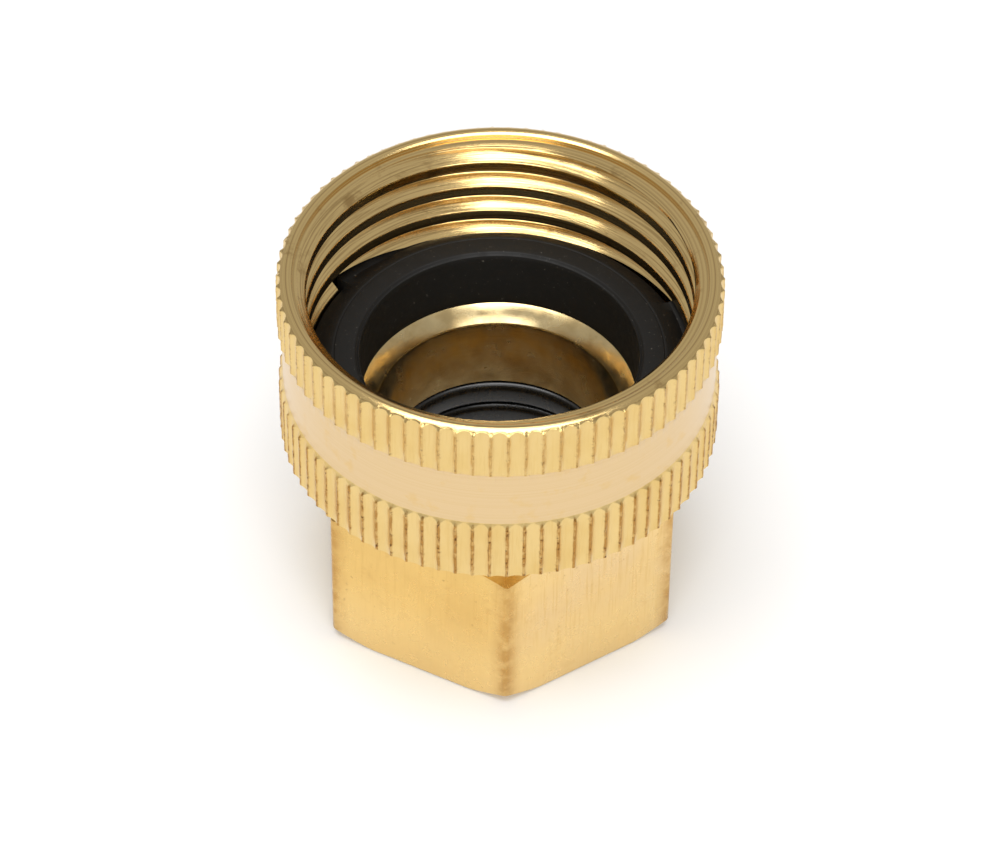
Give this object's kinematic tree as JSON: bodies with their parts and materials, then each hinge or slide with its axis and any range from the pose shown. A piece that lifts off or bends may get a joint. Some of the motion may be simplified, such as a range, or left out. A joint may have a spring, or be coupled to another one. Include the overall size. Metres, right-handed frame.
{
  "type": "swivel hose adapter",
  "caption": "Brass water adapter: a knurled, freely turning hose-thread nut with a rubber washer, held on a hexagonal body with a threaded pipe socket.",
  "frame": {"origin": "centre of the hexagon's bottom face, on the common axis of the two threads", "axes": "+Z along the water path towards the swivel nut's open end; +X and -X square to two flats of the hexagon"},
  "size_m": [0.0294, 0.0294, 0.0276],
  "materials": {
    "body_brass": "satin, faint drawn lines and small stains",
    "sleeve_brass": "turned, slightly tarnished in the bore",
    "nut_brass": "satin knurl outside, bright turned thread inside",
    "washer_rubber": "matt black with fine dust",
    "seal_rubber": "smooth black, slightly glossy"
  },
  "bodies": {
    "fitting_body": {"hex_body": "body_brass", "tail_sleeve": "sleeve_brass", "upper_seal_ring": "seal_rubber", "lower_seal_ring": "seal_rubber"},
    "swivel": {"swivel_nut": "nut_brass", "hose_washer": "washer_rubber"}
  },
  "joints": [
    {"name": "nut_swivel", "type": "hinge", "parent": "fitting_body", "child": "swivel", "pos_m": [0, 0, 0.0144], "axis": [0, 0, 1], "continuous": true}
  ]
}
